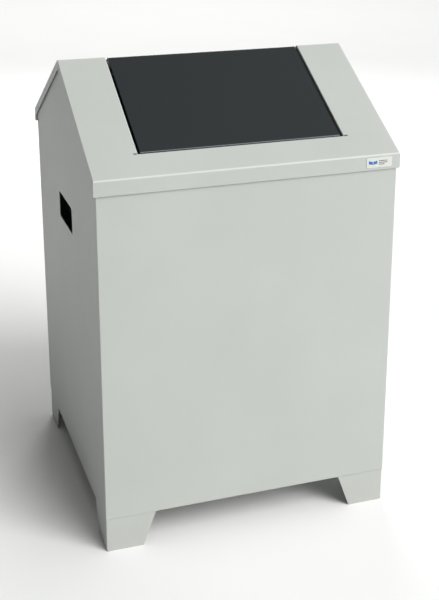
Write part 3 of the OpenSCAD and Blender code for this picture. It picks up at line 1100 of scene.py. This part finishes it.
@dataclass
class NamePlate:
    """The small plate at the right end of the front lip, with an open-book sign."""

    corner_mm: float = 2.2
    edge_mm: float = 0.3
    page_mm: float = 7.5
    page_height_mm: float = 6.5
    page_slant_mm: float = 1.6
    page_start_mm: float = 0.5
    rule_mm: float = 1.1
    rule_spacing: float = 2.6
    rule_start_mm: float = 3.0
    rule_lengths_mm: tuple[float, ...] = (15.0, 15.0, 10.0)
    ink_mm: float = 0.12

    def plate(self) -> None:
        """Builds the plate with its rounded corners."""
        low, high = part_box("name_plate")
        middle, size = (low + high) / 2, high - low
        shape = bmesh.new()
        face = rounded_loop(shape, size.x / 2, size.z / 2, self.corner_mm * MM)
        pulled = bmesh.ops.extrude_face_region(shape, geom=[face])["geom"]
        top = [v for v in pulled if isinstance(v, bmesh.types.BMVert)]
        bmesh.ops.translate(shape, vec=(0, 0, size.y), verts=top)
        lay = Matrix.Translation((middle.x, high.y, middle.z)) @ Matrix.Rotation(
            math.pi / 2, 4, "X"
        )
        bmesh.ops.transform(shape, matrix=lay, verts=shape.verts)
        bmesh.ops.recalc_face_normals(shape, faces=shape.faces)
        mesh = soft_mesh(shape, "name_plate_rounded", [], self.edge_mm)
        nodes = ["name_plate"]
        place_piece(mesh, "name_plate_rounded", Body.HOOD, PLATE_FACE, nodes)

    def print_on(
        self, name: str, finish: Finish, patches: list[list[tuple[float, float]]]
    ) -> None:
        """Prints patches of ink on the plate.

        Args:
            name: The piece's name.
            finish: The ink.
            patches: The corners of each patch, in millimetres from the plate's centre.
        """
        low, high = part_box("name_plate")
        middle = (low + high) / 2
        shape = bmesh.new()
        for patch in patches:
            corners = [(middle.x + x * MM, low.y, middle.z + z * MM) for x, z in patch]
            shape.faces.new([shape.verts.new(corner) for corner in corners])
        pulled = bmesh.ops.extrude_face_region(shape, geom=shape.faces[:])["geom"]
        top = [v for v in pulled if isinstance(v, bmesh.types.BMVert)]
        bmesh.ops.translate(shape, vec=(0, -self.ink_mm * MM, 0), verts=top)
        place_piece(to_mesh(shape, name), name, Body.HOOD, finish, [])

    def build(self) -> None:
        """Builds the plate, its open book and its rules."""
        self.plate()
        low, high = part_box("name_plate")
        spine = -(high.x - low.x) / MM / 4
        half, slant = self.page_height_mm / 2, self.page_slant_mm
        pages = [
            [
                (spine + side * self.page_start_mm, -half),
                (spine + side * self.page_mm, slant - half),
                (spine + side * self.page_mm, half),
                (spine + side * self.page_start_mm, half - slant),
            ]
            for side in (-1, 1)
        ]
        self.print_on("plate_open_book", PLATE_BLUE, pages)
        start = spine + self.page_mm + self.rule_start_mm
        rules = []
        for i, length in enumerate(self.rule_lengths_mm):
            height = (1 - i) * self.rule_spacing * self.rule_mm
            rules.append(
                [
                    (start, height - self.rule_mm / 2),
                    (start + length, height - self.rule_mm / 2),
                    (start + length, height + self.rule_mm / 2),
                    (start, height + self.rule_mm / 2),
                ]
            )
        self.print_on("plate_rules", PLATE_GREY, rules)


@dataclass
class Lid:
    """The swing lid with its cheeks and bushes."""

    ridge_mm: float = 3.0
    end_fold_mm: float = 4.5
    # The painted highlight goes on the end-fold faces whose normals rise this much.
    highlight_slopes: tuple[float, float] = (0.5, 0.72)

    def highlit_end_folds(self) -> Callable[[bpy.types.MeshPolygon], bool]:
        """Gives a test for the strip of each lower end fold that gets a painted
        highlight.
        """
        _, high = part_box("lid_shell")
        start = high.y - self.end_fold_mm * MM
        least, most = self.highlight_slopes
        return lambda face: abs(face.center.y) > start and least < face.normal.z < most

    def build(self) -> None:
        """Builds the lid."""
        _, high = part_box("lid_shell")
        folds = [Fold(lambda p: near(p.y, 0) and near(p.z, high.z), self.ridge_mm)]
        # On the lid only the end folds' strips take the edge colour: a painted
        # highlight.
        SheetPart(
            "lid_shell", Body.LID, ANTHRACITE, folds, wear_and_highlight=self.highlit_end_folds()
        ).build()
        for side in ("left", "right"):
            SheetPart(f"{side}_lid_cheek", Body.LID, ANTHRACITE).build()
            SheetPart(f"{side}_lid_bush", Body.LID, NYLON, cut_mm=0.4).build()


@dataclass
class Cabinet:
    """The cabinet's folded panels."""

    bend_mm: float = 2.2
    front_bend_mm: float = 1.2

    def build(self) -> None:
        """Builds the panels, the floor and the grip strips."""
        low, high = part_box("front_panel")
        back_low, back_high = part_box("back_panel")
        front = [
            Fold(
                lambda p: near(abs(p.x), high.x) and near(p.y, low.y),
                self.front_bend_mm,
            ),
            Fold(lambda p: near(p.z, low.z) and near(p.y, low.y), self.bend_mm),
        ]
        back = [
            Fold(
                lambda p: near(abs(p.x), back_high.x) and near(p.y, back_high.y),
                self.bend_mm,
            ),
            Fold(
                lambda p: near(p.z, back_low.z) and near(p.y, back_high.y),
                self.bend_mm,
            ),
        ]
        SheetPart("front_panel", Body.CABINET, LIGHT_GREY, front).build()
        SheetPart("back_panel", Body.CABINET, LIGHT_GREY, back).build()
        SheetPart("floor_panel", Body.CABINET, LIGHT_GREY).build()
        for side in ("left", "right"):
            node = f"{side}_side_panel"
            side_low, side_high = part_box(node)
            outer = max(abs(side_low.x), abs(side_high.x))
            folds = [
                Fold(
                    lambda p, y=y, x=outer: near(abs(p.x), x) and near(p.y, y),
                    self.bend_mm,
                )
                for y in (side_low.y, side_high.y)
            ]
            SheetPart(node, Body.CABINET, LIGHT_GREY, folds).build()
            SheetPart(f"{side}_grip_strip", Body.CABINET, LIGHT_GREY).build()


@dataclass
class Bin:
    """The lift-out bin with its rim, mounts, rivets and drop handles."""

    corner_mm: float = 14.0
    bead_shares: tuple[float, ...] = (0.3, 0.62)
    bead_out_mm: float = 2.4
    bead_half_mm: float = 5.0
    rivet_head_mm: float = 1.6
    arm_spacing_mm: float = 92.0
    wire_bend_mm: float = 3.4

    def d_section(self, out: float, half: float) -> list[tuple[float, float]]:
        """Gives a half-round section.

        Args:
            out: How far it stands out.
            half: Half its height.

        Returns:
            Its corners, from the bottom to the top.
        """
        steps = range(ARC_STEP_DEG - 90, 91, ARC_STEP_DEG)
        turn = [math.radians(step) for step in steps]
        return [(out * math.cos(t), half + half * math.sin(t)) for t in turn]

    def rim(self) -> None:
        """Builds the rolled rim around the bin's mouth."""
        low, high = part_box("bin_rim")
        _, wall_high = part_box("bin_shell")
        section = self.d_section(high.x - wall_high.x, (high.z - low.z) / 2)
        corner = self.corner_mm * MM
        shape = band(wall_high.x, wall_high.y, corner, low.z, section)
        mesh = to_mesh(shape, "bin_rim_rolled")
        place_piece(mesh, "bin_rim_rolled", Body.BIN, GALVANISED, ["bin_rim"])

    def beads(self) -> None:
        """Builds the swaged beads that stiffen the bin's walls."""
        low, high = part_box("bin_shell")
        half = self.bead_half_mm * MM
        for i, share in enumerate(self.bead_shares):
            height = low.z + share * (high.z - low.z) - half
            section = self.d_section(self.bead_out_mm * MM, half)
            shape = band(high.x, high.y, self.corner_mm * MM, height, section)
            mesh = to_mesh(shape, f"bin_bead_{i}")
            place_piece(mesh, f"bin_bead_{i}", Body.BIN, GALVANISED, [])

    def rivets(self) -> None:
        """Builds the domed rivets that hold the handles' mounts."""
        shape = bmesh.new()
        for solid in node_solids("handle_rivets"):
            middle = sum(solid, Vector()) / len(solid)
            xs = [p.x for p in solid]
            length = max(xs) - min(xs)
            head = max(abs(p.z - middle.z) for p in solid)
            shank = min(math.hypot(p.y - middle.y, p.z - middle.z) for p in solid)
            dome = self.rivet_head_mm * MM
            turn = [
                math.radians(step) for step in range(DOME_STEP_DEG, 91, DOME_STEP_DEG)
            ]
            cap = [(head * math.sin(t), dome - dome * math.cos(t)) for t in turn]
            half = [(0.0, 0.0), *cap, (shank, dome)]
            profile = half + [(radius, length - z) for radius, z in reversed(half)]
            rivet = turned(profile, steps=ROD_STEPS)
            gather(shape, rivet, along_x((min(xs), middle.y, middle.z)))
        mesh = to_mesh(shape, "handle_rivets_domed")
        nodes = ["handle_rivets"]
        place_piece(mesh, "handle_rivets_domed", Body.BIN, ZINC_PLATE, nodes)

    def handle(self, node: str, body: Body) -> None:
        """Bends a drop handle from one length of wire.

        Args:
            node: The handle's node.
            body: The body that it rides on.
        """
        low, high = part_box(node)
        radius = (high.x - low.x) / 2
        axis = (low.x + high.x) / 2
        pivot, foot = high.z - radius, low.z + radius
        arm = self.arm_spacing_mm * MM / 2
        path = [
            Vector((axis, low.y, pivot)),
            Vector((axis, -arm, pivot)),
            Vector((axis, -arm, foot)),
            Vector((axis, arm, foot)),
            Vector((axis, arm, pivot)),
            Vector((axis, high.y, pivot)),
        ]
        shape = bent_rod(path, radius, self.wire_bend_mm * MM)
        mesh = to_mesh(shape, node + "_bent")
        place_piece(mesh, node + "_bent", body, HANDLE_WIRE, [node])

    def build(self) -> None:
        """Builds the bin."""
        SheetPart("bin_shell", Body.BIN, GALVANISED, cut_mm=0.4).build()
        self.rim()
        self.beads()
        self.rivets()
        for side, body in (("left", Body.LEFT_HANDLE), ("right", Body.RIGHT_HANDLE)):
            SheetPart(f"{side}_handle_mount", Body.BIN, ZINC_PLATE).build()
            self.handle(f"{side}_handle", body)


# ---------------------------------------------------------------- studio


@dataclass
class Studio:
    """Pale paper floor, soft lights and the camera."""

    eye_m: tuple[float, float, float] = (-0.58868, -1.84706, 1.13886)
    turn_deg: float = 18.5
    tilt_deg: float = 16.97
    focal_px: float = 1139.21
    sensor_mm: float = 36.0
    shift: float = -0.2
    floor_m: float = 60.0
    air_low: float = 0.04
    air_high: float = 1.6
    air_steepness: float = 5.0
    air_from: tuple[float, float, float] = (0.35, -0.25, 0.9)
    backdrop: float = 0.9
    key_from: tuple[float, float, float] = (0.39, -0.65, 0.65)
    key_spread_deg: float = 40.0
    key_strength: float = 2.2
    softbox_m: float = 1.2
    front_softbox: tuple[float, float, float] = (1.7, -2.2, 1.5)
    front_watts: float = 22.0
    rear_softbox: tuple[float, float, float] = (0.9, 2.9, 1.9)
    rear_watts: float = 28.0
    softbox_aim: tuple[float, float, float] = (0.0, 0.0, 0.4)
    paper_light_m: float = 4.0
    paper_light: tuple[float, float, float] = (1.5, 5.5, 3.6)
    paper_watts: float = 55.0

    def floor(self) -> None:
        """Lays the paper."""
        shape = bmesh.new()
        bmesh.ops.create_grid(shape, x_segments=2, y_segments=2, size=self.floor_m / 2)
        mesh = bpy.data.meshes.new("floor")
        shape.to_mesh(mesh)
        shape.free()
        mesh.materials.append(StudioPaper("studio_paper", "").material())
        paper = bpy.data.objects.new("floor", mesh)
        bpy.context.scene.collection.objects.link(paper)

    def air(self) -> None:
        """Sets the studio's own soft light: overhead, a little to the right and front.

        The pale backdrop that shows behind the box is lit on its own, so that it
        doesn't brighten the box's sides.
        """
        world = bpy.data.worlds.new("studio_air")
        world.use_nodes = True
        tree = world.node_tree
        way = add_node(tree, "ShaderNodeTexCoord").outputs["Generated"]
        towards = Vector(self.air_from).normalized()
        facing = add_node(
            tree, "ShaderNodeVectorMath", {0: way, 1: towards}, operation="DOT_PRODUCT"
        ).outputs["Value"]
        up = add_node(tree, "ShaderNodeMath", {0: facing, 1: 0.0}, operation="MAXIMUM")
        steep = add_node(
            tree,
            "ShaderNodeMath",
            {0: up.outputs[0], 1: self.air_steepness},
            operation="POWER",
        )
        lit = add_node(
            tree,
            "ShaderNodeMapRange",
            {
                "Value": steep.outputs[0],
                "To Min": self.air_low,
                "To Max": self.air_high,
            },
        )
        seen = add_node(tree, "ShaderNodeLightPath").outputs["Is Camera Ray"]
        strength = add_node(
            tree,
            "ShaderNodeMix",
            {0: seen, 2: lit.outputs[0], 3: self.backdrop},
            data_type="FLOAT",
        )
        background = tree.nodes["Background"]
        tree.links.new(strength.outputs[0], background.inputs["Strength"])
        background.inputs["Color"].default_value = linear("#FFFFFF")
        bpy.context.scene.world = world

    def hang(self, lamp: bpy.types.Light, place: Vector, target: Vector) -> None:
        """Hangs a light.

        Args:
            lamp: The light.
            place: Where it hangs.
            target: The point that it faces.
        """
        light = bpy.data.objects.new(lamp.name, lamp)
        light.location = place
        light.rotation_euler = (target - place).to_track_quat("-Z", "Y").to_euler()
        bpy.context.scene.collection.objects.link(light)

    def lights(self) -> None:
        """Hangs the broad key light, two softboxes and a panel over the paper."""
        key = bpy.data.lights.new("key", "SUN")
        key.angle = math.radians(self.key_spread_deg)
        key.energy = self.key_strength
        self.hang(key, Vector(self.key_from), Vector())
        for name, place, watts in (
            ("front_softbox", self.front_softbox, self.front_watts),
            ("rear_softbox", self.rear_softbox, self.rear_watts),
        ):
            softbox = bpy.data.lights.new(name, "AREA")
            softbox.shape = "SQUARE"
            softbox.size = self.softbox_m
            softbox.energy = watts
            self.hang(softbox, Vector(place), Vector(self.softbox_aim))
        panel = bpy.data.lights.new("paper_light", "AREA")
        panel.shape = "SQUARE"
        panel.size = self.paper_light_m
        panel.energy = self.paper_watts
        place = Vector(self.paper_light)
        self.hang(panel, place, Vector((place.x, place.y, 0)))

    def camera(self) -> None:
        """Sets up the camera."""
        lens = bpy.data.cameras.new("camera")
        lens.sensor_width = self.sensor_mm
        lens.lens = self.focal_px / max(PICTURE) * lens.sensor_width
        lens.shift_y = self.shift
        eye = bpy.data.objects.new("camera", lens)
        turn, tilt = math.radians(self.turn_deg), math.radians(self.tilt_deg)
        ahead = Vector(
            (
                math.sin(turn) * math.cos(tilt),
                math.cos(turn) * math.cos(tilt),
                -math.sin(tilt),
            )
        )
        eye.location = self.eye_m
        eye.rotation_euler = ahead.to_track_quat("-Z", "Y").to_euler()
        bpy.context.scene.collection.objects.link(eye)
        bpy.context.scene.camera = eye

    def build(self) -> None:
        """Builds the studio."""
        bpy.context.scene.view_settings.view_transform = "Standard"
        self.air()
        self.floor()
        self.lights()
        self.camera()


def main() -> None:
    """Builds every sub-assembly and the studio."""
    logging.basicConfig(level=logging.INFO, format="%(name)s: %(message)s")
    for part in (Cabinet(), Hood(), NamePlate(), Lid(), Bin(), Studio()):
        log.info("building %s", type(part).__name__)
        part.build()


if __name__ == "__main__":
    main()
